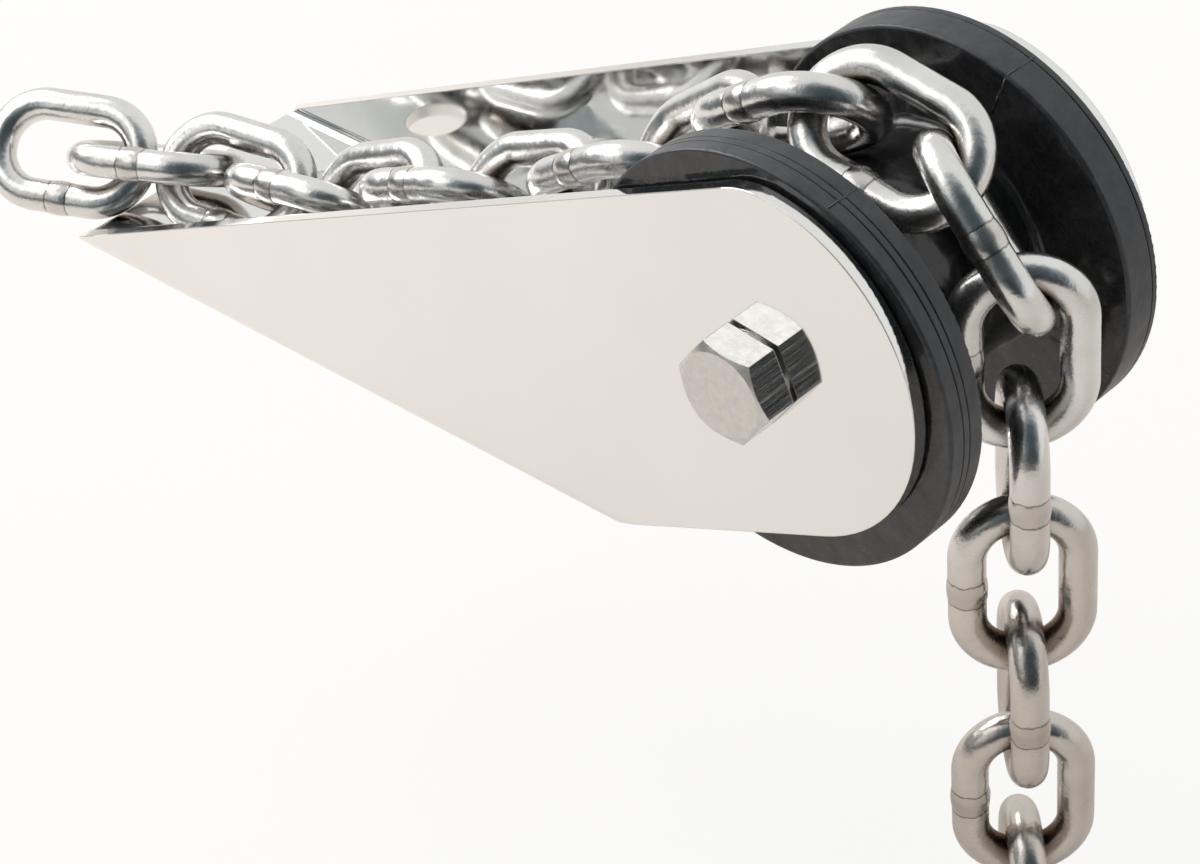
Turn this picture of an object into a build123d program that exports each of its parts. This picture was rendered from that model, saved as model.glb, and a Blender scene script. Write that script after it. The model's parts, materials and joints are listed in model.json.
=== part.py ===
"""Chain fairlead: a folded stainless channel with a moulded roller in its raised nose.

Millimetres, +Z up. The channel's flat base lies on the deck at z = 0, the nose and its
roller point along +X, and Y runs along the roller's axle. The chain that the fairlead
leads lies in the channel, rises to the roller, bends over it and hangs in front.
"""
import os
from math import cos, degrees, pi, radians, sin, sqrt, tan

from build123d import *

os.makedirs("parts", exist_ok=True)

# folded channel
PLATE = 4.0
CHANNEL_INSIDE = 80.0
BEND_INSIDE = 2.5
BASE_LENGTH = 204.0
AFT_HEIGHT = 4.6
TOP_SLOPE = 24.7
NOSE_SLOPE = 23.8
NOSE_RADIUS = 47.0
NOSE_AHEAD = 1.5
NOSE_ABOVE = 4.5
NOSE_BLEND = 24.0

# deck bolt holes
DECK_HOLE = 18.0
DECK_HOLE_SPACING_X = 126.0
DECK_HOLE_SPACING_Y = 35.0

# axle position, from the middle of the base and from the deck
AXLE_X = 158.0
AXLE_Z = 72.5

# axle bolt, its washer and its locking nut, M16
BOLT_DIAMETER = 16.0
BOLT_HOLE_PLAY = 0.5
HEX_ACROSS_FLATS = 24.0
HEX_TURN = 22.4
HEX_CHAMFER = 30.0
HEAD_HEIGHT = 10.0
HEAD_FACE_DIAMETER = 22.5
HEAD_FACE_HEIGHT = 0.8
WASHER_DIAMETER = 30.0
WASHER_THICKNESS = 3.0
NUT_HEX_HEIGHT = 11.5
NUT_COLLAR_HEIGHT = 4.5
NUT_COLLAR_DIAMETER = 22.0
INSERT_HEIGHT = 2.8
INSERT_WALL = 1.9
THREAD_CLEARANCE = 0.05
THREAD_STANDOUT = 4.0
THREAD_PITCH = 2.0
THREAD_DEPTH = 0.7

# sleeve that the bolt clamps between the cheeks, and the bushes that turn on it
SLEEVE_DIAMETER = 22.0
RUNNING_CLEARANCE = 0.05
BUSH_WALL = 3.0
BUSH_LENGTH = 24.0
BUSH_FLANGE_DIAMETER = 34.0
BUSH_FLANGE_THICKNESS = 1.6
THRUST_WASHER_DIAMETER = 38.0
THRUST_WASHER_THICKNESS = 0.8
END_CLEARANCE = 0.1

# roller
ROLLER_DIAMETER = 110.0
FLANGE_THICKNESS = 11.5
HUB_DIAMETER = 60.0
HUB_CORNER = 3.0
RIM_ROUND = 0.8
PARTING_DEPTH = 0.3
PARTING_WIDTH = 0.4
PARTING_NEAR = 4.4
PARTING_SECOND = 6.6
PARTING_FAR = 2.4

# chain
WIRE = 9.5
LINK_INSIDE_LENGTH = 35.0
LINK_WIDTH = 36.5
LINK_PLAY = 0.2
LINK_ROLL = 45.0
WELD_SWELL = 0.35
WELD_LENGTH = 7.0
REST_GAP = 0.1
LINKS_ON_ROLLER = 3
LINKS_HANGING = 5
CHAIN_DRIFT = 2.3
# how much flatter or steeper than the run's mean slope each rising link is, from the tail up
SAG_SLOPES = (-18.0, -4.0, -7.0, -6.0, 3.0, 9.0, 3.0)
# how loosely each joint at the tail hangs together, from the tail up
TAIL_SLACK = (6.8, 6.5, 6.5, 4.5, 4.5)
# slope, drift and extra roll of each link that lies on the base, from the tail up
LYING = ((-2.0, 25.0, 0.0), (3.0, 22.0, 14.0), (0.0, 10.0, 0.0))

# sizes that follow from the ones above
half_inside = CHANNEL_INSIDE / 2
half_outside = half_inside + PLATE
base_half = BASE_LENGTH / 2
bolt_radius = BOLT_DIAMETER / 2
hole_radius = bolt_radius + BOLT_HOLE_PLAY
sleeve_radius = SLEEVE_DIAMETER / 2
bush_inner = sleeve_radius + RUNNING_CLEARANCE
bush_outer = bush_inner + BUSH_WALL
roller_half = half_inside - THRUST_WASHER_THICKNESS - 2 * END_CLEARANCE
rim_radius = ROLLER_DIAMETER / 2
hub_radius = HUB_DIAMETER / 2
flange_inner = roller_half - FLANGE_THICKNESS
axle_point = (AXLE_X, 0, AXLE_Z)
axle_axis = Axis(axle_point, (0, 1, 0))
# sketch plane through the axle: its x runs along the axle, its y is the radius
axle_section = Plane(origin=axle_point, x_dir=(0, 1, 0), z_dir=(1, 0, 0))


def across(y):
    """Sketch plane square to the axle at this y, facing the near side."""
    return Plane(origin=(AXLE_X, y, AXLE_Z), x_dir=(1, 0, 0), z_dir=(0, -1, 0))


# side view of the channel: a low tail that rises to the round nose
nose_x = AXLE_X + NOSE_AHEAD
nose_z = AXLE_Z + NOSE_ABOVE
top = radians(TOP_SLOPE)
under = radians(NOSE_SLOPE)
under_x = nose_x + NOSE_RADIUS * sin(under)
under_z = nose_z - NOSE_RADIUS * cos(under)
base_front = under_x - under_z / tan(under)
# where the straight top edge runs into the nose circle
to_nose_x = nose_x + base_half
to_nose_z = nose_z - AFT_HEIGHT
beside = to_nose_x * sin(top) - to_nose_z * cos(top)
along = to_nose_x * cos(top) + to_nose_z * sin(top) + sqrt(NOSE_RADIUS**2 - beside**2)
shoulder = (along * cos(top) - base_half, along * sin(top) + AFT_HEIGHT)

with BuildPart() as channel:
    with BuildSketch(Plane.YZ.offset(-base_half)) as fold:
        with BuildLine():
            Polyline(
                (-half_outside, nose_z + NOSE_RADIUS),
                (-half_outside, 0),
                (half_outside, 0),
                (half_outside, nose_z + NOSE_RADIUS),
                (half_inside, nose_z + NOSE_RADIUS),
                (half_inside, PLATE),
                (-half_inside, PLATE),
                (-half_inside, nose_z + NOSE_RADIUS),
                close=True,
            )
        make_face()
        inner_corners = fold.vertices().group_by(Axis.Y)[1]
        fillet(inner_corners, BEND_INSIDE)
        outer_corners = fold.vertices().group_by(Axis.Y)[0]
        fillet(outer_corners, BEND_INSIDE + PLATE)
    extrude(amount=base_half + nose_x + NOSE_RADIUS)
    with BuildSketch(Plane.XZ) as side:
        with BuildLine():
            Polyline(
                (under_x, under_z),
                (base_front, 0),
                (-base_half, 0),
                (-base_half, AFT_HEIGHT),
                shoulder,
            )
            ThreePointArc(shoulder, (nose_x + NOSE_RADIUS, nose_z), (under_x, under_z))
        make_face()
        peak = side.vertices().sort_by_distance((shoulder[0], shoulder[1], 0))[0]
        fillet(peak, NOSE_BLEND)
    extrude(amount=half_outside, both=True, mode=Mode.INTERSECT)
    # the base stops square where the cheeks run on to the nose
    with Locations((base_front, 0, 0)):
        Box(
            2 * NOSE_RADIUS,
            CHANNEL_INSIDE,
            2 * (PLATE + BEND_INSIDE),
            align=(Align.MIN, Align.CENTER, Align.CENTER),
            mode=Mode.SUBTRACT,
        )
    with GridLocations(DECK_HOLE_SPACING_X, DECK_HOLE_SPACING_Y, 2, 2):
        with Locations((0, 0, PLATE)):
            Hole(DECK_HOLE / 2, depth=PLATE)
    with BuildSketch(across(0)):
        Circle(hole_radius)
    extrude(amount=half_outside, both=True, mode=Mode.SUBTRACT)

channel.part.label = "channel"
export_step(channel.part, "parts/channel.step")

# one moulded spool: two rims, a hub between them and a bore for the bushes
with BuildPart() as roller:
    with BuildSketch(axle_section) as spool:
        with BuildLine():
            Polyline(
                (-roller_half, bush_outer),
                (-roller_half, rim_radius),
                (-flange_inner, rim_radius),
                (-flange_inner, hub_radius),
                (flange_inner, hub_radius),
                (flange_inner, rim_radius),
                (roller_half, rim_radius),
                (roller_half, bush_outer),
                close=True,
            )
        make_face()
        rim_corners = spool.vertices().group_by(Axis.Y)[-1]
        fillet(rim_corners, RIM_ROUND)
        hub_corners = spool.vertices().group_by(Axis.Y)[1]
        fillet(hub_corners, HUB_CORNER)
        for y in (
            PARTING_NEAR - roller_half,
            PARTING_SECOND - roller_half,
            roller_half - PARTING_FAR,
        ):
            with Locations((y, rim_radius)):
                Rectangle(PARTING_WIDTH, 2 * PARTING_DEPTH, mode=Mode.SUBTRACT)
        with Locations((-roller_half, bush_outer), (roller_half, bush_outer)):
            Rectangle(
                2 * BUSH_FLANGE_THICKNESS,
                2 * (BUSH_FLANGE_DIAMETER / 2 - bush_outer + END_CLEARANCE),
                mode=Mode.SUBTRACT,
            )
    revolve(axis=axle_axis)

roller.part.label = "roller"
export_step(roller.part, "parts/roller.step")

# a flanged bush pressed into each end of the bore
with BuildPart() as bush_near:
    with BuildSketch(axle_section):
        with BuildLine():
            Polyline(
                (-roller_half, bush_inner),
                (-roller_half, BUSH_FLANGE_DIAMETER / 2),
                (BUSH_FLANGE_THICKNESS - roller_half, BUSH_FLANGE_DIAMETER / 2),
                (BUSH_FLANGE_THICKNESS - roller_half, bush_outer),
                (BUSH_LENGTH - roller_half, bush_outer),
                (BUSH_LENGTH - roller_half, bush_inner),
                close=True,
            )
        make_face()
    revolve(axis=axle_axis)

with BuildPart() as bush_far:
    mirror(bush_near.part, about=Plane.XZ)

bush_near.part.label = "bush_near"
export_step(bush_near.part, "parts/bush_near.step")
bush_far.part.label = "bush_far"
export_step(bush_far.part, "parts/bush_far.step")

# the sleeve keeps the cheeks apart when the bolt is tight
with BuildPart() as sleeve:
    with BuildSketch(across(half_inside)):
        Circle(sleeve_radius)
        Circle(hole_radius, mode=Mode.SUBTRACT)
    extrude(amount=CHANNEL_INSIDE)

sleeve.part.label = "axle_sleeve"
export_step(sleeve.part, "parts/axle_sleeve.step")

# thin washers between the roller's ends and the cheeks
with BuildPart() as thrust_near:
    with BuildSketch(across(-roller_half - END_CLEARANCE)):
        Circle(THRUST_WASHER_DIAMETER / 2)
        Circle(bush_inner, mode=Mode.SUBTRACT)
    extrude(amount=THRUST_WASHER_THICKNESS)

with BuildPart() as thrust_far:
    mirror(thrust_near.part, about=Plane.XZ)

thrust_near.part.label = "thrust_washer_near"
export_step(thrust_near.part, "parts/thrust_washer_near.step")
thrust_far.part.label = "thrust_washer_far"
export_step(thrust_far.part, "parts/thrust_washer_far.step")

# axle bolt: chamfered hexagon with a washer face, shank and threaded end
head_seat = -half_outside - HEAD_FACE_HEIGHT
head_top = head_seat - HEAD_HEIGHT
corner_radius = HEX_ACROSS_FLATS / 2 / cos(pi / 6)
chamfer_drop = (corner_radius - HEX_ACROSS_FLATS / 2 * 0.95) * tan(radians(HEX_CHAMFER))
far_seat = half_outside + WASHER_THICKNESS
nut_height = NUT_HEX_HEIGHT + NUT_COLLAR_HEIGHT
bolt_end = far_seat + nut_height + THREAD_STANDOUT

with BuildPart() as bolt:
    with BuildSketch(across(head_seat)):
        RegularPolygon(HEX_ACROSS_FLATS / 2, 6, major_radius=False, rotation=HEX_TURN + 30)
    extrude(amount=HEAD_HEIGHT)
    with BuildSketch(axle_section):
        with BuildLine():
            Polyline(
                (head_top, 0),
                (head_top, HEX_ACROSS_FLATS / 2 * 0.95),
                (head_top + chamfer_drop, corner_radius),
                (head_seat, corner_radius),
                (head_seat, 0),
                close=True,
            )
        make_face()
    revolve(axis=axle_axis, mode=Mode.INTERSECT)
    with BuildSketch(axle_section):
        with BuildLine():
            thread_top = bolt_end - THREAD_STANDOUT
            Polyline(
                (head_seat, 0),
                (head_seat, HEAD_FACE_DIAMETER / 2),
                (-half_outside, HEAD_FACE_DIAMETER / 2),
                (-half_outside, bolt_radius),
                (thread_top, bolt_radius),
                (thread_top + THREAD_PITCH / 2, bolt_radius - THREAD_DEPTH),
                (thread_top + THREAD_PITCH, bolt_radius),
                (thread_top + THREAD_PITCH * 1.5, bolt_radius - THREAD_DEPTH),
                (bolt_end, bolt_radius - 2 * THREAD_DEPTH),
                (bolt_end, 0),
                close=True,
            )
        make_face()
    revolve(axis=axle_axis)

bolt.part.label = "axle_bolt"
export_step(bolt.part, "parts/axle_bolt.step")

with BuildPart() as washer:
    with BuildSketch(across(far_seat)):
        Circle(WASHER_DIAMETER / 2)
        Circle(hole_radius, mode=Mode.SUBTRACT)
    extrude(amount=WASHER_THICKNESS)

washer.part.label = "nut_washer"
export_step(washer.part, "parts/nut_washer.step")

# locking nut: hexagon, round collar and the nylon ring held in the collar
nut_bore = bolt_radius + THREAD_CLEARANCE
insert_outer = nut_bore + INSERT_WALL
nut_end = far_seat + nut_height
insert_start = nut_end - INSERT_HEIGHT - 1.0

with BuildPart() as nut:
    with BuildSketch(across(far_seat + NUT_HEX_HEIGHT)):
        RegularPolygon(HEX_ACROSS_FLATS / 2, 6, major_radius=False, rotation=HEX_TURN + 30)
    extrude(amount=NUT_HEX_HEIGHT)
    with BuildSketch(axle_section):
        with BuildLine():
            Polyline(
                (far_seat, 0),
                (far_seat, HEX_ACROSS_FLATS / 2 * 0.95),
                (far_seat + chamfer_drop, corner_radius),
                (far_seat + NUT_HEX_HEIGHT - chamfer_drop, corner_radius),
                (far_seat + NUT_HEX_HEIGHT, HEX_ACROSS_FLATS / 2 * 0.95),
                (far_seat + NUT_HEX_HEIGHT, 0),
                close=True,
            )
        make_face()
    revolve(axis=axle_axis, mode=Mode.INTERSECT)
    with BuildSketch(axle_section) as collar:
        with BuildLine():
            Polyline(
                (far_seat + NUT_HEX_HEIGHT, 0),
                (far_seat + NUT_HEX_HEIGHT, NUT_COLLAR_DIAMETER / 2),
                (nut_end, NUT_COLLAR_DIAMETER / 2),
                (nut_end, 0),
                close=True,
            )
        make_face()
        rim = collar.vertices().group_by(Axis.Y)[-1].sort_by(Axis.X)[-1]
        fillet(rim, 2.0)
    revolve(axis=axle_axis)
    with BuildSketch(axle_section):
        with BuildLine():
            Polyline(
                (far_seat, 0),
                (far_seat, nut_bore),
                (insert_start, nut_bore),
                (insert_start, insert_outer),
                (insert_start + INSERT_HEIGHT, insert_outer),
                (insert_start + INSERT_HEIGHT, nut_bore + 1.0),
                (nut_end, nut_bore + 1.0),
                (nut_end, 0),
                close=True,
            )
        make_face()
    revolve(axis=axle_axis, mode=Mode.SUBTRACT)

nut.part.label = "lock_nut"
export_step(nut.part, "parts/lock_nut.step")

with BuildPart() as insert:
    with BuildSketch(across(insert_start + INSERT_HEIGHT)):
        Circle(insert_outer)
        Circle(nut_bore, mode=Mode.SUBTRACT)
    extrude(amount=INSERT_HEIGHT)

insert.part.label = "nut_insert"
export_step(insert.part, "parts/nut_insert.step")

# one chain link along X, its loop in XY, with the weld halfway along one side
end_radius = (LINK_WIDTH - WIRE) / 2
tip = LINK_INSIDE_LENGTH / 2 + WIRE / 2
straight = tip - end_radius

with BuildPart() as chain_link:
    with BuildLine() as loop:
        Line((-straight, -end_radius), (straight, -end_radius))
        ThreePointArc((straight, -end_radius), (tip, 0), (straight, end_radius))
        Line((straight, end_radius), (-straight, end_radius))
        ThreePointArc((-straight, end_radius), (-tip, 0), (-straight, -end_radius))
    with BuildSketch(Plane(origin=(-straight, -end_radius, 0), z_dir=(1, 0, 0))):
        Circle(WIRE / 2)
    sweep(path=loop.wire())
    weld_axis = Axis((0, end_radius, 0), (1, 0, 0))
    with BuildSketch():
        with BuildLine():
            edge = end_radius + WIRE / 2
            ThreePointArc(
                (-WELD_LENGTH / 2, edge - 0.05),
                (0, edge + WELD_SWELL),
                (WELD_LENGTH / 2, edge - 0.05),
            )
            Polyline(
                (WELD_LENGTH / 2, edge - 0.05),
                (WELD_LENGTH / 2, end_radius),
                (-WELD_LENGTH / 2, end_radius),
                (-WELD_LENGTH / 2, edge - 0.05),
            )
        make_face()
    revolve(axis=weld_axis)

# The chain is set out from the link at the roller's front: each link is a plane whose x runs along the link.
# Neighbours are turned a quarter turn about the run and stay one play apart, wire to wire.
# The welds all lie on the near side.
centre_line = loop.wire()
grip = WIRE + LINK_PLAY


def link_plane(centre, slope, drift, roll):
    """Plane of a link: its slope in the run's plane, the run's drift and its own roll."""
    slope, drift, roll = radians(slope), radians(drift), radians(roll)
    ahead = Vector(cos(slope) * cos(drift), cos(slope) * sin(drift), sin(slope))
    level = Vector(-sin(drift), cos(drift), 0)
    side = level * cos(roll) + ahead.cross(level) * sin(roll)
    return Plane(origin=centre, x_dir=ahead, z_dir=ahead.cross(side))


def apart(one, other):
    """Distance between the centre lines of two links."""
    return centre_line.moved(one.location).distance_to(centre_line.moved(other.location))


def couple(link, slope, drift, roll, direction, slack=0):
    """Plane of the neighbour after (direction 1) or before (direction -1) this link."""
    aim = link_plane((0, 0, 0), slope, drift, roll).x_dir
    meet = link.origin + link.x_dir * tip * direction
    between = (link.x_dir + aim).normalized()
    spacing = grip
    for step in range(6):
        centre = meet + (aim * tip - between * spacing) * direction
        spacing = spacing + grip - apart(link, link_plane(centre, slope, drift, roll))
    return link_plane(centre - aim * slack * direction, slope, drift, roll)


def lift(slope):
    """Height of a link's centre above what its lowest wire rests on."""
    slope, roll = radians(slope), radians(LINK_ROLL)
    bow = end_radius * sqrt(sin(slope) ** 2 + (cos(slope) * sin(roll)) ** 2)
    return straight * abs(sin(slope)) + bow + WIRE / 2 + WELD_SWELL + REST_GAP


# links on the hub: the front one hangs straight down, the others follow the hub's curve
wrap_radius = hub_radius + lift(0)


def on_roller(turn, roll):
    """Plane of a link on the hub, this far round from the front."""
    out = wrap_radius * cos(radians(turn))
    above = wrap_radius * sin(radians(turn))
    return link_plane((AXLE_X + out, 0, AXLE_Z + above), turn - 90, 0, roll)


turn = 0
roll = 180 + LINK_ROLL
wrapped = [on_roller(turn, roll)]
for index in range(LINKS_ON_ROLLER - 1):
    roll = 360 - roll
    step_turn = degrees(LINK_INSIDE_LENGTH / wrap_radius)
    for step in range(8):
        link = on_roller(turn + step_turn, roll)
        step_turn = step_turn - degrees((grip - apart(wrapped[-1], link)) / wrap_radius)
    turn = turn + step_turn
    wrapped.append(link)
top_roll = roll


def aft_run(mean_slope):
    """Links from the roller's top down to the base and along it, for this mean slope."""
    rising = [(mean_slope + bend, CHAIN_DRIFT, 0) for bend in SAG_SLOPES]
    headings = [*LYING, *rising]
    links = [wrapped[-1]]
    roll = top_roll
    for index in reversed(range(len(headings))):
        slope, drift, twist = headings[index]
        roll = 360 - roll
        slack = TAIL_SLACK[index] if index < len(TAIL_SLACK) else 0
        links.append(couple(links[-1], slope, drift, roll + twist, -1, slack))
    return links[1:]


# the mean slope that brings the tail down onto the base
mean_slope = TOP_SLOPE
for step in range(5):
    above = aft_run(mean_slope)[len(SAG_SLOPES)].origin.Z - PLATE - lift(0)
    mean_slope = mean_slope + degrees(above / (LINK_INSIDE_LENGTH * len(SAG_SLOPES)))

# the free end hangs straight down in front of the roller
hanging = []
link = wrapped[0]
roll = 180 + LINK_ROLL
for index in range(LINKS_HANGING):
    roll = 360 - roll
    link = couple(link, -90, 0, roll, 1)
    hanging.append(link)

run = aft_run(mean_slope)[::-1] + wrapped[::-1] + hanging
for index, place in enumerate(run, start=1):
    with BuildPart() as link:
        with Locations(place.location):
            add(chain_link.part)
    link.part.label = f"link_{index:02d}"
    export_step(link.part, f"parts/link_{index:02d}.step")
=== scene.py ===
"""Looks of the chain fairlead: materials, small details, stage, light and camera."""

import json
from math import cos, pi, radians, sin

import bmesh
import bpy
import numpy as np
from mathutils import Matrix, Vector, noise as lumps


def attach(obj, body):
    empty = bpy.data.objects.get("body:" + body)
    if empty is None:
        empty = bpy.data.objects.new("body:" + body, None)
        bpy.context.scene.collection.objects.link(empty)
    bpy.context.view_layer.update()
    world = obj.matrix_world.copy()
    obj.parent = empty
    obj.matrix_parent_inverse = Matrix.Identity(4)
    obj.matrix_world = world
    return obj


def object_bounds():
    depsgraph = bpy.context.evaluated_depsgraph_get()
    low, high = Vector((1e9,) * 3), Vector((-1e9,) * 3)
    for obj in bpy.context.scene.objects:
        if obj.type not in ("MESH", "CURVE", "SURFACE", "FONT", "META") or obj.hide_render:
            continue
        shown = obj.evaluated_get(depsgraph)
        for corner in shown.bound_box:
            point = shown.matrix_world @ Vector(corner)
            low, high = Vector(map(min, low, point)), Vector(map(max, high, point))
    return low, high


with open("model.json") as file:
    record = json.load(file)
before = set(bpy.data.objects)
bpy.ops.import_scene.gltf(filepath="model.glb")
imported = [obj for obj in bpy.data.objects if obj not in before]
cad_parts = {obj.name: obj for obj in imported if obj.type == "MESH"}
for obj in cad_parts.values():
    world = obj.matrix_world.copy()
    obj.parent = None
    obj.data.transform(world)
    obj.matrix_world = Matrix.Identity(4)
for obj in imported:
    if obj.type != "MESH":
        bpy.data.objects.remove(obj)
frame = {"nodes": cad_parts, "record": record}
cad_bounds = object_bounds()
nodes = frame["nodes"]
record = frame["record"]
bodies = record["behaviour"]["bodies"]
joints = {joint["name"]: joint for joint in record["behaviour"]["joints"]}

AXLE = Vector(joints["roller_spin"]["pos_m"])
ROLLER_HALF = max(corner[1] for corner in nodes["roller"].bound_box)
RIM_RADIUS = max(corner[2] for corner in nodes["roller"].bound_box) - AXLE.z
RIM_WIDTH = 0.0115
# the tread's finish fades into the faces' between these depths under the rim
TREAD_DEPTH = (0.0012, 0.0004)

# a link's wire: how far its middle runs from the link's middle, and its radius
LINK_HALF_WIDTH = 0.0135
WIRE_RADIUS = 0.00475
# how far the painted shade reaches: links darken and brown where they close in on each other
PAINTED_SHADE_REACH = 0.009
# painted shade on the free end, darker and browner by height less distance forward: where it
# starts and where it is full
END_SHADE_START = -0.148
END_SHADE_FULL = -0.203

# welds: half the band's length, how far its edges wander, and where the side starts
WELD_HALF = 0.0035
WELD_WANDER = 0.0022
WELD_SIDE = (0.004, 0.007)
BEAD_SMALL = 0.0005
BEAD_LARGE = 0.0013
LARGE_BEADS = ("link_11", "link_15", "link_17")
# bead: place along the link, its start and end round the wire in degrees, size, seed
BEADS = {
    "a": (0.0011, 112, 236, 1.0, 0),
    "b": (-0.0013, 130, 262, 0.8, 40),
}
BEAD_STEPS = 18
BEAD_CORNERS = 8
# how a bead's thickness and course vary along it and from seed to seed
LUMPS = (5.0, 3.7)
BENDS = (4.0, 1.9, 7.0)
BEAD_THINNEST = 0.25
BEAD_MEAN = 0.55
BEAD_VARIES = 0.6
BEAD_HEIGHT = 0.55
BEAD_DRIFT = 1.2

# mould seams: degrees up from +X round the axle, where the mould's halves met
SEAM_ANGLES = {"near": 67.8, "far": 69.3}
SEAM_WIDTH = 0.0006
SEAM_HEIGHT = 0.00025
SEAM_SINK = 0.00005
SEAM_CORNERS = 4
SEAM_FROM_INSIDE = 0.0006
SEAM_FROM_OUTSIDE = 0.0010
SEAM_ON_FACE = (RIM_RADIUS - 0.0009, 0.048, 0.042)

FLOOR_SIZE = 3.0
FLOOR_GAP = 0.0015
FLOOR_WARM = (0.937, 0.872, 0.828, 1)
FLOOR_WHITE_SHARE = 0.85

# the room that the steel mirrors: pale, with dark at one side and low in front
PALE = (0.84, 0.845, 0.825)
SLATE = (0.20, 0.24, 0.26)
DARK_SLATE = (0.055, 0.075, 0.085)
DARK_SIDE = (0.70, -0.45, 0.55)
DARK_PANEL = (-0.596, -0.684, 0.421)
WHITE = (1, 1, 1, 1)

# camera: its turns in degrees, and its place from the axle along its right, up and back
CAMERA_AZIMUTH = 46.330
CAMERA_ELEVATION = 37.336
CAMERA_ROLL = -5.556
CAMERA_RIGHT = -0.064639
CAMERA_UP = -0.034993
CAMERA_BACK = 0.812111
CAMERA_LENS = 102.33
CAMERA_SENSOR = 36.0


def new_material(name):
    mat = bpy.data.materials.new(name)
    mat.use_nodes = True
    tree = mat.node_tree
    shader = tree.nodes["Principled BSDF"]
    return mat, tree, shader


def metal(name):
    mat, tree, shader = new_material(name)
    shader.inputs["Metallic"].default_value = 1.0
    return mat, tree, shader


def coordinates(tree, kind="Object"):
    return tree.nodes.new("ShaderNodeTexCoord").outputs[kind]


def feed(tree, value, socket):
    """Give a socket a constant, or another socket's value."""
    if isinstance(value, tuple):
        socket.default_value = value
    else:
        tree.links.new(value, socket)


def noise(tree, scale, detail=4.0, rough=0.55, stretch=None):
    """Noise in the row frame's coordinates, optionally stretched."""
    tex = tree.nodes.new("ShaderNodeTexNoise")
    tex.inputs["Scale"].default_value = scale
    tex.inputs["Detail"].default_value = detail
    tex.inputs["Roughness"].default_value = rough
    place = coordinates(tree)
    if stretch:
        mapping = tree.nodes.new("ShaderNodeMapping")
        mapping.inputs["Scale"].default_value = stretch
        tree.links.new(place, mapping.inputs["Vector"])
        place = mapping.outputs["Vector"]
    tree.links.new(place, tex.inputs["Vector"])
    return tex


def ramp(tree, source, stops):
    """Colour ramp on a value: stops are (position, colour or grey)."""
    node = tree.nodes.new("ShaderNodeValToRGB")
    elements = node.color_ramp.elements
    while len(elements) < len(stops):
        elements.new(0.5)
    for element, (position, colour) in zip(elements, stops):
        if not isinstance(colour, tuple):
            colour = (colour, colour, colour)
        element.position = position
        element.color = (*colour, 1)
    tree.links.new(source, node.inputs["Fac"])
    return node.outputs["Color"]


def vector_math(tree, operation, source, other, result="Vector"):
    node = tree.nodes.new("ShaderNodeVectorMath")
    node.operation = operation
    node.inputs[1].default_value = other
    tree.links.new(source, node.inputs[0])
    return node.outputs[result]


def scalar_math(tree, operation, source, other=0.0):
    node = tree.nodes.new("ShaderNodeMath")
    node.operation = operation
    node.inputs[1].default_value = other
    tree.links.new(source, node.inputs[0])
    return node.outputs["Value"]


def share_between(tree, source, low, high):
    """How far a value is on its way from low to high, from 0 to 1."""
    node = tree.nodes.new("ShaderNodeMapRange")
    node.inputs["From Min"].default_value = low
    node.inputs["From Max"].default_value = high
    tree.links.new(source, node.inputs["Value"])
    return node.outputs["Result"]


def mixed(tree, share, first, second):
    """First colour at share 0, second at share 1."""
    node = tree.nodes.new("ShaderNodeMix")
    node.data_type = "RGBA"
    tree.links.new(share, node.inputs["Factor"])
    feed(tree, first, node.inputs["A"])
    feed(tree, second, node.inputs["B"])
    return node.outputs["Result"]


def tinted(tree, colour, shade):
    """One colour multiplied by another."""
    node = tree.nodes.new("ShaderNodeMix")
    node.data_type = "RGBA"
    node.blend_type = "MULTIPLY"
    node.inputs["Factor"].default_value = 1.0
    tree.links.new(colour, node.inputs["A"])
    tree.links.new(shade, node.inputs["B"])
    return node.outputs["Result"]


def bump(tree, shader, height, strength, distance, edge_radius=0):
    """Bump from a height, over edges that are rounded in the light only."""
    node = tree.nodes.new("ShaderNodeBump")
    node.inputs["Strength"].default_value = strength
    node.inputs["Distance"].default_value = distance
    if edge_radius:
        edge = tree.nodes.new("ShaderNodeBevel")
        edge.samples = 6
        edge.inputs["Radius"].default_value = edge_radius
        tree.links.new(edge.outputs["Normal"], node.inputs["Normal"])
    tree.links.new(height, node.inputs["Height"])
    tree.links.new(node.outputs["Normal"], shader.inputs["Normal"])


def polished_plate():
    """Mirror polish with faint cloudiness and the slow waves of hand polishing."""
    mat, tree, shader = metal("polished_plate")
    cloud = noise(tree, scale=9.0, detail=3.0)
    colour = ramp(
        tree,
        cloud.outputs["Fac"],
        [(0.3, (0.825, 0.825, 0.815)), (0.7, (0.875, 0.875, 0.865))],
    )
    tree.links.new(colour, shader.inputs["Base Color"])
    fine = noise(tree, scale=160.0, detail=5.0, rough=0.6, stretch=(1.0, 1.0, 0.25))
    rough = ramp(tree, fine.outputs["Fac"], [(0.3, 0.045), (0.75, 0.10)])
    tree.links.new(rough, shader.inputs["Roughness"])
    wave = noise(tree, scale=14.0, detail=1.0)
    bump(tree, shader, wave.outputs["Fac"], strength=0.5, distance=0.0008, edge_radius=0.0006)
    return mat


def from_axle(tree):
    """Distance from the axle's line."""
    shifted = vector_math(tree, "SUBTRACT", coordinates(tree), AXLE)
    flat = vector_math(tree, "MULTIPLY", shifted, (1, 0, 1))
    length = tree.nodes.new("ShaderNodeVectorMath")
    length.operation = "LENGTH"
    tree.links.new(flat, length.inputs[0])
    return length.outputs["Value"]


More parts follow.
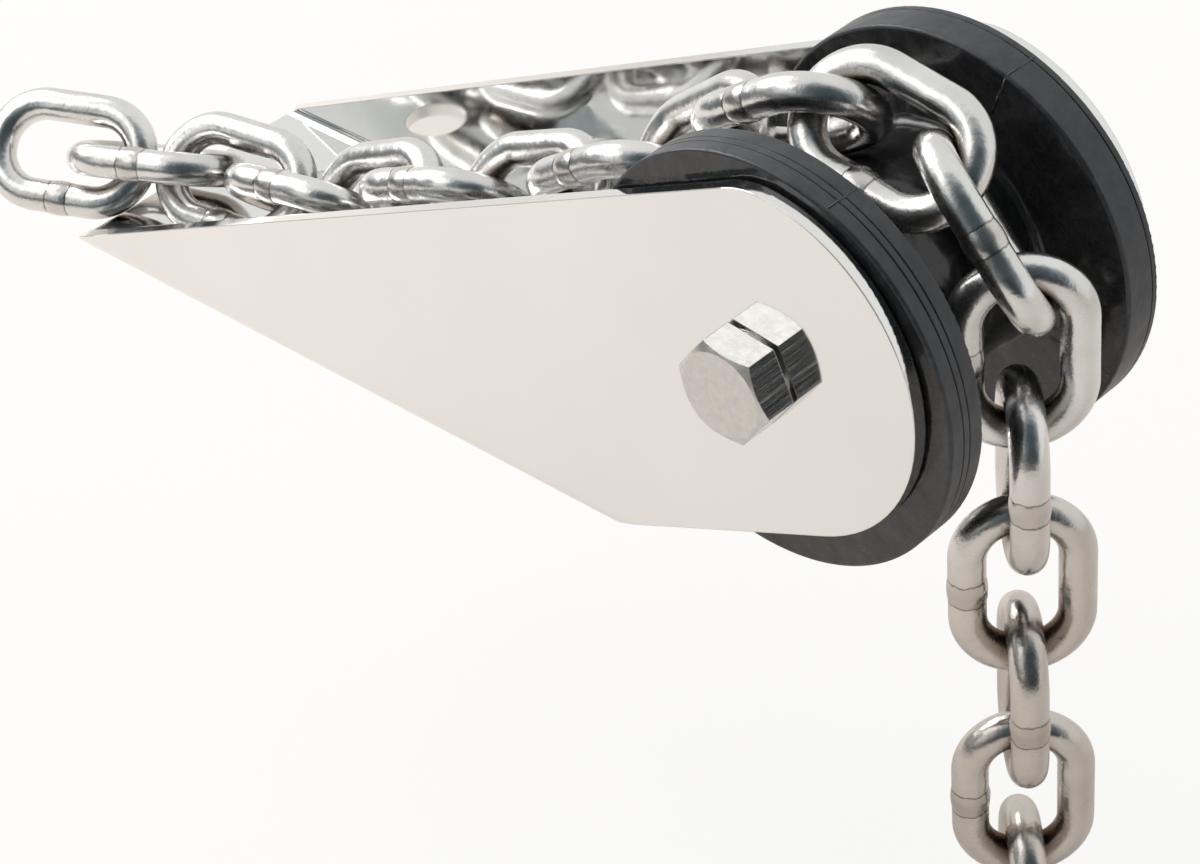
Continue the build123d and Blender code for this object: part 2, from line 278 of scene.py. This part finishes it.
def black_polymer():
    """Glossy moulded faces, and a tread that is worn satin and charcoal."""
    mat, tree, shader = new_material("black_polymer")
    start, end = (RIM_RADIUS - depth for depth in TREAD_DEPTH)
    tread = share_between(tree, from_axle(tree), start, end)
    dust = noise(tree, scale=240.0, detail=6.0, rough=0.7).outputs["Fac"]
    face = ramp(tree, dust, [(0.45, (0.020, 0.020, 0.021)), (0.78, (0.044, 0.044, 0.046))])
    worn = ramp(tree, dust, [(0.40, (0.028, 0.032, 0.040)), (0.78, (0.055, 0.060, 0.070))])
    tree.links.new(mixed(tree, tread, face, worn), shader.inputs["Base Color"])
    patch = noise(tree, scale=22.0, detail=4.0).outputs["Fac"]
    gloss = ramp(tree, patch, [(0.3, 0.10), (0.7, 0.20)])
    satin = ramp(tree, patch, [(0.3, 0.32), (0.7, 0.46)])
    tree.links.new(mixed(tree, tread, gloss, satin), shader.inputs["Roughness"])
    shader.inputs["IOR"].default_value = 1.55
    sink = noise(tree, scale=60.0, detail=2.5)
    bump(tree, shader, sink.outputs["Fac"], strength=0.85, distance=0.0014, edge_radius=0.0005)
    return mat


def weld_marks(tree):
    """Shade of the weld: a duller band between two thin lines on the link's welded side."""
    local = tree.nodes.new("ShaderNodeAttribute")
    local.attribute_name = "in_link"
    split = tree.nodes.new("ShaderNodeSeparateXYZ")
    tree.links.new(local.outputs["Vector"], split.inputs["Vector"])
    uneven = noise(tree, scale=300.0, detail=3.0)
    shift = tree.nodes.new("ShaderNodeMath")
    shift.operation = "MULTIPLY_ADD"
    shift.inputs[1].default_value = WELD_WANDER
    tree.links.new(uneven.outputs["Fac"], shift.inputs[0])
    tree.links.new(split.outputs["X"], shift.inputs[2])
    centred = scalar_math(tree, "SUBTRACT", shift.outputs["Value"], WELD_WANDER / 2)
    away = scalar_math(tree, "ABSOLUTE", centred)
    reach = scalar_math(tree, "MULTIPLY", away, 1 / (2 * WELD_HALF))
    marks = ramp(
        tree,
        reach,
        [
            (0.0, (0.80, 0.78, 0.76)),
            (0.42, (0.86, 0.84, 0.82)),
            (0.48, (0.30, 0.27, 0.25)),
            (0.54, (0.97, 0.96, 0.95)),
            (1.0, (1.0, 1.0, 1.0)),
        ],
    )
    side = share_between(tree, split.outputs["Y"], *WELD_SIDE)
    return mixed(tree, side, WHITE, marks)


def chain_steel():
    """Worn polish: soft dents, painted shade where the links touch, and weld marks."""
    mat, tree, shader = metal("chain_steel")
    cloud = noise(tree, scale=55.0, detail=5.0, rough=0.6)
    colour = ramp(
        tree,
        cloud.outputs["Fac"],
        [(0.28, (0.68, 0.67, 0.655)), (0.55, (0.80, 0.79, 0.78)), (0.8, (0.88, 0.87, 0.86))],
    )
    # painted shade: the free end, which lies far forward and low, is darker and browner than the
    # run
    lead = vector_math(tree, "DOT_PRODUCT", coordinates(tree), (-1, 0, 1), "Value")
    height = share_between(tree, lead, END_SHADE_FULL, END_SHADE_START)
    painted_end_shade = ramp(tree, height, [(0.0, (0.78, 0.735, 0.695)), (1.0, (1.0, 1.0, 1.0))])
    # painted shade: ambient occlusion darkens the base colour to brown where the links touch and
    # close in
    corner = tree.nodes.new("ShaderNodeAmbientOcclusion")
    corner.inputs["Distance"].default_value = PAINTED_SHADE_REACH
    corner.samples = 6
    painted_shade = ramp(tree, corner.outputs["AO"], [(0.25, (0.42, 0.36, 0.31)), (0.75, (1.0, 1.0, 1.0))])
    colour = tinted(tree, tinted(tree, colour, painted_end_shade), painted_shade)
    colour = tinted(tree, colour, weld_marks(tree))
    tree.links.new(colour, shader.inputs["Base Color"])
    wear = noise(tree, scale=130.0, detail=6.0, rough=0.65)
    rough = ramp(tree, wear.outputs["Fac"], [(0.3, 0.18), (0.72, 0.32)])
    tree.links.new(rough, shader.inputs["Roughness"])
    dent = noise(tree, scale=170.0, detail=4.0, rough=0.55)
    bump(tree, shader, dent.outputs["Fac"], strength=0.48, distance=0.0006)
    return mat


def forged_steel():
    """Bolt and nut: grainy end faces, flats drawn along the axle and smoother."""
    mat, tree, shader = metal("bolt_steel")
    facing = vector_math(tree, "DOT_PRODUCT", coordinates(tree, "Normal"), (0, 1, 0), "Value")
    end = share_between(tree, scalar_math(tree, "ABSOLUTE", facing), 0.3, 0.6)
    cloud = noise(tree, scale=420.0, detail=6.0, rough=0.75)
    tint = ramp(
        tree,
        cloud.outputs["Fac"],
        [(0.26, (0.55, 0.53, 0.51)), (0.62, (0.72, 0.70, 0.675))],
    )
    tree.links.new(tint, shader.inputs["Base Color"])
    grain = noise(tree, scale=420.0, detail=5.0, rough=0.65)
    drawn = noise(tree, scale=900.0, detail=3.0, rough=0.6, stretch=(1.0, 0.03, 1.0))
    height = mixed(tree, end, drawn.outputs["Color"], grain.outputs["Color"])
    flat_rough = ramp(tree, drawn.outputs["Fac"], [(0.3, 0.14), (0.7, 0.22)])
    end_rough = ramp(tree, grain.outputs["Fac"], [(0.3, 0.28), (0.7, 0.42)])
    tree.links.new(mixed(tree, end, flat_rough, end_rough), shader.inputs["Roughness"])
    bump(tree, shader, height, strength=0.30, distance=0.0003, edge_radius=0.0004)
    return mat


def sleeve_steel():
    """Turned tube, with its marks running round it."""
    mat, tree, shader = metal("sleeve_steel")
    cloud = noise(tree, scale=70.0, detail=4.0)
    colour = (0.62, 0.61, 0.60)
    dark = tuple(0.86 * c for c in colour)
    tint = ramp(tree, cloud.outputs["Fac"], [(0.3, dark), (0.7, colour)])
    tree.links.new(tint, shader.inputs["Base Color"])
    grain = noise(tree, scale=200.0, detail=5.0, rough=0.6, stretch=(1.0, 8.0, 1.0))
    rough = ramp(tree, grain.outputs["Fac"], [(0.3, 0.25), (0.7, 0.35)])
    tree.links.new(rough, shader.inputs["Roughness"])
    bump(tree, shader, grain.outputs["Fac"], strength=0.15, distance=0.0003, edge_radius=0.0004)
    return mat


def polymer(name, colour, roughness):
    mat, tree, shader = new_material(name)
    cloud = noise(tree, scale=120.0, detail=4.0)
    dark = tuple(0.85 * c for c in colour)
    tint = ramp(tree, cloud.outputs["Fac"], [(0.3, dark), (0.7, colour)])
    tree.links.new(tint, shader.inputs["Base Color"])
    shader.inputs["Roughness"].default_value = roughness
    grain = noise(tree, scale=500.0, detail=3.0)
    bump(tree, shader, grain.outputs["Fac"], strength=0.15, distance=0.0002)
    return mat


by_slot = {
    "polished_stainless": polished_plate(),
    "black_polymer": black_polymer(),
    "chain_steel": chain_steel(),
    "bolt_steel": forged_steel(),
    "plain_stainless": sleeve_steel(),
    "bush_polymer": polymer("bush_polymer", (0.80, 0.78, 0.72), 0.4),
    "insert_nylon": polymer("insert_nylon", (0.10, 0.22, 0.50), 0.45),
}
for row in record["subparts"]:
    node = nodes[row["node"]]
    node.data.materials.clear()
    node.data.materials.append(by_slot[row["material_slot"]])


def body_of(name):
    """The body that carries a CAD piece."""
    return next(body for body, pieces in bodies.items() if name in pieces)


def mesh_object(name, bm, slot, body):
    """Finished piece from a mesh, with the finish of a slot, riding on a body."""
    bmesh.ops.recalc_face_normals(bm, faces=bm.faces)
    mesh = bpy.data.meshes.new(name)
    bm.to_mesh(mesh)
    bm.free()
    obj = bpy.data.objects.new(name, mesh)
    bpy.context.scene.collection.objects.link(obj)
    obj.data.materials.append(by_slot[slot])
    for face in mesh.polygons:
        face.use_smooth = True
    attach(obj, body)
    return obj


def ridge(name, points, across, out, slot, body):
    """Thin raised line with a rounded back along points, as a mould leaves it."""
    bm = bmesh.new()
    rows = []
    for point in points:
        row = []
        for corner in range(SEAM_CORNERS + 1):
            turn = pi * corner / SEAM_CORNERS
            aside = across * cos(turn) * SEAM_WIDTH / 2
            raised = out * (sin(turn) * SEAM_HEIGHT - SEAM_SINK)
            row.append(bm.verts.new(point + aside + raised))
        rows.append(row)
    for first, second in zip(rows, rows[1:]):
        for a, b, c, d in zip(first, first[1:], second[1:], second):
            bm.faces.new((a, b, c, d))
    bm.faces.new(rows[0])
    bm.faces.new(reversed(rows[-1]))
    return mesh_object(name, bm, slot, body)


def link_axes(node):
    """A link's middle and its directions: along it, towards its weld, and across its loop."""
    mesh = node.data
    points = np.empty(len(mesh.vertices) * 3)
    mesh.vertices.foreach_get("co", points)
    points = points.reshape(-1, 3)
    middle = (points.max(axis=0) + points.min(axis=0)) / 2
    # the box's middle moves a little as its axes settle, so it is found three times
    for _ in range(3):
        spread = points - middle
        axes = np.linalg.eigh(spread.T @ spread)[1]
        local = spread @ axes
        middle = middle + axes @ ((local.max(axis=0) + local.min(axis=0)) / 2)
    along = Vector(axes[:, 2])
    beside = Vector(axes[:, 1])
    # every weld is on the near side
    if beside.y > 0:
        beside = -beside
    across = along.cross(beside)
    basis = np.array([along, beside, across])
    local = (points - middle) @ basis.T
    attribute = mesh.attributes.new("in_link", "FLOAT_VECTOR", "POINT")
    attribute.data.foreach_set("vector", local.ravel())
    return Vector(middle), along, beside, across


def weld_flash(name, axes, offset, start, stop, thick, seed, body):
    """Rough bead that the weld left part of the way round the wire, on the loop's inside."""
    middle, along, beside, across = axes
    centre = middle + beside * LINK_HALF_WIDTH + along * offset
    bm = bmesh.new()
    rows = []
    for step in range(BEAD_STEPS + 1):
        share = step / BEAD_STEPS
        turn = radians(start + (stop - start) * share)
        out = beside * cos(turn) + across * sin(turn)
        lump = 0.5 + lumps.noise(Vector((share * LUMPS[0], seed * LUMPS[1], 0.0)))
        uneven = max(BEAD_THINNEST, BEAD_MEAN + BEAD_VARIES * lump)
        size = thick * sin(pi * share) ** 0.5 * uneven
        bend = lumps.noise(Vector((share * BENDS[0], seed * BENDS[1], BENDS[2])))
        drift = along * thick * BEAD_DRIFT * bend
        ring = []
        for corner in range(BEAD_CORNERS):
            angle = 2 * pi * corner / BEAD_CORNERS
            raised = out * (WIRE_RADIUS + size * BEAD_HEIGHT * sin(angle))
            ring.append(bm.verts.new(centre + drift + raised + along * size * cos(angle)))
        rows.append(ring)
    for first, second in zip(rows, rows[1:]):
        for corner in range(BEAD_CORNERS):
            after = (corner + 1) % BEAD_CORNERS
            bm.faces.new((first[corner], first[after], second[after], second[corner]))
    bm.faces.new(rows[0])
    bm.faces.new(reversed(rows[-1]))
    return mesh_object(name, bm, "chain_steel", body)


links = sorted(name for name in nodes if name.startswith("link_"))
for number, link in enumerate(links, start=1):
    axes = link_axes(nodes[link])
    thick = BEAD_LARGE if link in LARGE_BEADS else BEAD_SMALL
    for bead, (offset, start, stop, scale, seed) in BEADS.items():
        name = f"{link}_flash_{bead}"
        weld_flash(name, axes, offset, start, stop, thick * scale, number + seed, body_of(link))

# mould seams of the roller: across each rim's tread, and down each rim's inner face
for side, angle in SEAM_ANGLES.items():
    turn = radians(angle)
    out = Vector((cos(turn), 0, sin(turn)))
    across = Vector((-sin(turn), 0, cos(turn)))
    sign = -1 if side == "near" else 1
    inner = sign * (ROLLER_HALF - RIM_WIDTH + SEAM_FROM_INSIDE)
    outer = sign * (ROLLER_HALF - SEAM_FROM_OUTSIDE)
    start = AXLE + out * RIM_RADIUS + Vector((0, inner, 0))
    end = AXLE + out * RIM_RADIUS + Vector((0, outer, 0))
    points = [start, start.lerp(end, 0.5), end]
    ridge(f"roller_seam_{side}", points, across, out, "black_polymer", "roller")
    wall = Vector((0, sign * (ROLLER_HALF - RIM_WIDTH), 0))
    points = [AXLE + wall + out * radius for radius in SEAM_ON_FACE]
    inward = Vector((0, -sign, 0))
    ridge(f"roller_face_seam_{side}", points, across, inward, "black_polymer", "roller")


def stage_floor():
    """Floor under the free end: warm in the light, nearly white to the camera."""
    height = cad_bounds[0][2] - FLOOR_GAP
    bpy.ops.mesh.primitive_plane_add(size=FLOOR_SIZE, location=(0, 0, height))
    floor = bpy.context.object
    floor.name = "floor"
    mat, tree, shader = new_material("floor")
    shader.inputs["Base Color"].default_value = FLOOR_WARM
    shader.inputs["Roughness"].default_value = 0.9
    white = tree.nodes.new("ShaderNodeEmission")
    white.inputs["Color"].default_value = WHITE
    path = tree.nodes.new("ShaderNodeLightPath")
    share = scalar_math(tree, "MULTIPLY", path.outputs["Is Camera Ray"], FLOOR_WHITE_SHARE)
    mix = tree.nodes.new("ShaderNodeMixShader")
    tree.links.new(share, mix.inputs["Fac"])
    tree.links.new(shader.outputs["BSDF"], mix.inputs[1])
    tree.links.new(white.outputs["Emission"], mix.inputs[2])
    tree.links.new(mix.outputs["Shader"], tree.nodes["Material Output"].inputs["Surface"])
    floor.data.materials.append(mat)


def room_colour(tree):
    """Colour of the room in each direction, as the steel mirrors it."""
    direction = coordinates(tree, "Generated")
    towards = vector_math(tree, "DOT_PRODUCT", direction, DARK_SIDE, "Value")
    room = ramp(tree, towards, [(0.0, PALE), (0.58, PALE), (0.77, SLATE), (0.92, DARK_SLATE)])
    # dark near the horizon, in front only
    split = tree.nodes.new("ShaderNodeSeparateXYZ")
    tree.links.new(direction, split.inputs["Vector"])
    low = ramp(
        tree,
        split.outputs["Z"],
        [(0.0, (0.14, 0.16, 0.17)), (0.14, (0.18, 0.20, 0.21)), (0.34, (1.0, 1.0, 1.0))],
    )
    front = share_between(tree, split.outputs["Y"], 0.15, -0.20)
    horizon = mixed(tree, front, WHITE, low)
    # a panel that the far cheek mirrors by way of the base
    beside = vector_math(tree, "DOT_PRODUCT", direction, DARK_PANEL, "Value")
    panel = ramp(tree, beside, [(0.9842, (1.0, 1.0, 1.0)), (0.9868, (0.30, 0.35, 0.37))])
    return tinted(tree, tinted(tree, room, horizon), panel)


def studio_world():
    """World: the camera sees white, and everything else the room."""
    world = bpy.data.worlds.new("studio")
    bpy.context.scene.world = world
    world.use_nodes = True
    tree = world.node_tree
    tree.nodes.clear()
    light = tree.nodes.new("ShaderNodeBackground")
    tree.links.new(room_colour(tree), light.inputs["Color"])
    seen = tree.nodes.new("ShaderNodeBackground")
    seen.inputs["Color"].default_value = WHITE
    path = tree.nodes.new("ShaderNodeLightPath")
    mix = tree.nodes.new("ShaderNodeMixShader")
    tree.links.new(path.outputs["Is Camera Ray"], mix.inputs["Fac"])
    tree.links.new(light.outputs["Background"], mix.inputs[1])
    tree.links.new(seen.outputs["Background"], mix.inputs[2])
    output = tree.nodes.new("ShaderNodeOutputWorld")
    tree.links.new(mix.outputs["Shader"], output.inputs["Surface"])


def area_light(name, place, aim, size, power):
    data = bpy.data.lights.new(name, "AREA")
    data.shape = "RECTANGLE"
    data.size = size
    data.size_y = size
    data.energy = power
    obj = bpy.data.objects.new(name, data)
    bpy.context.scene.collection.objects.link(obj)
    obj.location = place
    obj.rotation_euler = (Vector(aim) - Vector(place)).to_track_quat("-Z", "Y").to_euler()


def photo_camera():
    """Camera at the photo's place, level and lens."""
    data = bpy.data.cameras.new("camera")
    data.sensor_fit = "HORIZONTAL"
    data.sensor_width = CAMERA_SENSOR
    data.lens = CAMERA_LENS
    data.clip_start = 0.01
    camera = bpy.data.objects.new("camera", data)
    bpy.context.scene.collection.objects.link(camera)
    bpy.context.scene.camera = camera
    azimuth, elevation, roll = map(radians, (CAMERA_AZIMUTH, CAMERA_ELEVATION, CAMERA_ROLL))
    level = Vector((cos(azimuth), sin(azimuth), 0))
    back = Vector((sin(azimuth) * cos(elevation), -cos(azimuth) * cos(elevation), sin(elevation)))
    upright = back.cross(level)
    right = level * cos(roll) + upright * sin(roll)
    up = upright * cos(roll) - level * sin(roll)
    place = AXLE + right * CAMERA_RIGHT + up * CAMERA_UP + back * CAMERA_BACK
    turn = Matrix((right, up, back)).transposed().to_4x4()
    camera.matrix_world = Matrix.Translation(place) @ turn


stage_floor()
studio_world()
area_light("key", place=(-1.35, -0.15, 1.15), aim=(0.05, 0, 0.03), size=1.1, power=17.6)
area_light("soft", place=(-0.38, -0.82, 1.11), aim=(0.158, -0.05, 0.0725), size=0.7, power=1.2)
photo_camera()
bpy.context.scene.view_settings.view_transform = "Standard"
